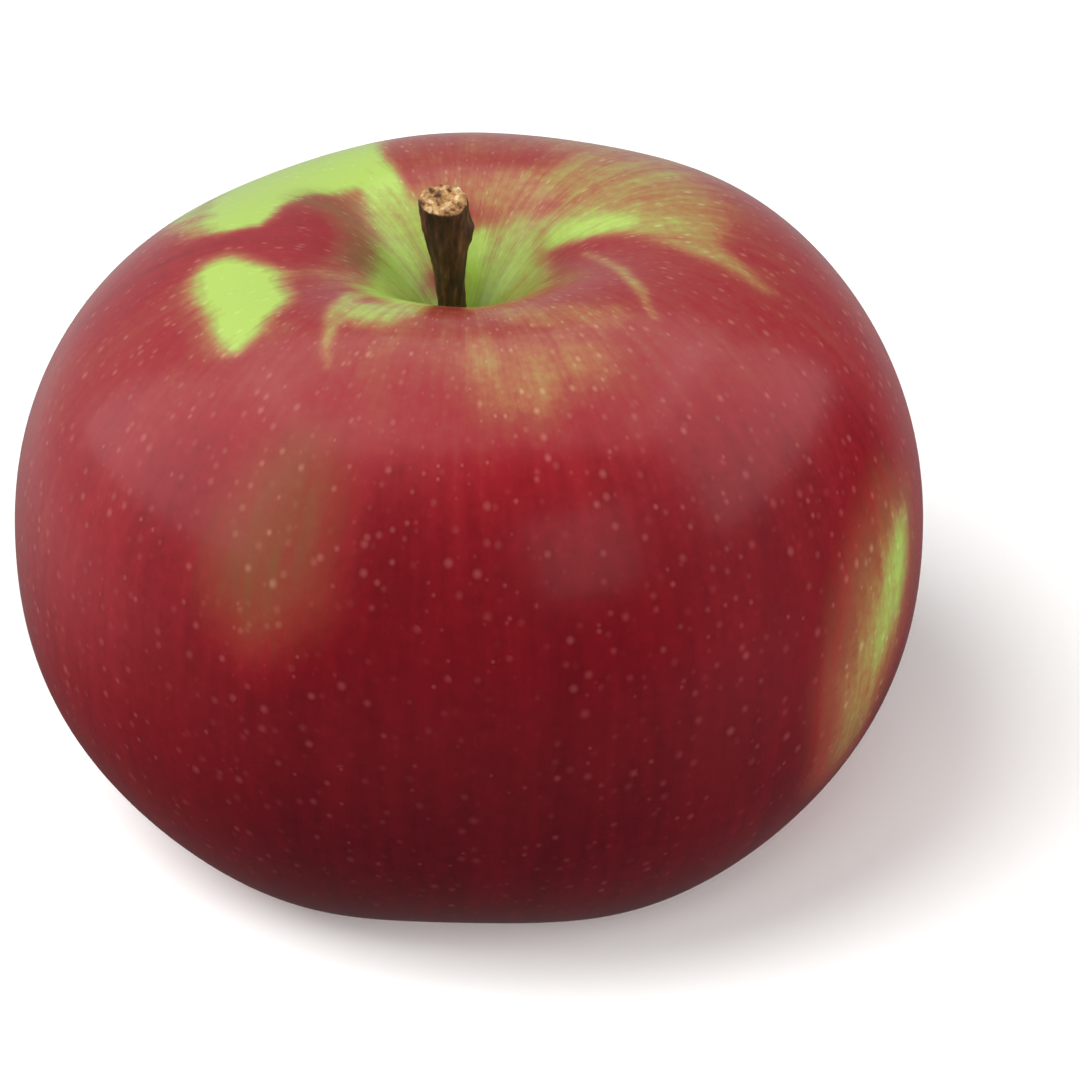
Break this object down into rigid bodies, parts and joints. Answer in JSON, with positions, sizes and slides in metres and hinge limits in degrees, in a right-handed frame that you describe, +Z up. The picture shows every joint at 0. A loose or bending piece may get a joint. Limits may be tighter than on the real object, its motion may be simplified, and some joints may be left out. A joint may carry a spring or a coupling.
{
  "type": "red apple",
  "caption": "Whole ripe apple of a flat round kind with its stem and dried calyx, standing on its base; set dressing, food props and simple grasping.",
  "frame": {"origin": "on the surface that it stands on, below the middle of its outline seen from above", "axes": "+Z up along the core, from the calyx to the stem; -Y is the side seen in the picture, +X to its right"},
  "size_m": [0.0756, 0.0764, 0.058],
  "materials": {
    "skin": "waxy red skin blushed over green-yellow, satin to glossy",
    "stem": "matte brown bark with a pale broken end",
    "calyx": "dry, matte, papery"
  },
  "bodies": {
    "root": {"fruit": "skin", "stem": "stem", "calyx": "calyx"}
  },
  "joints": []
}
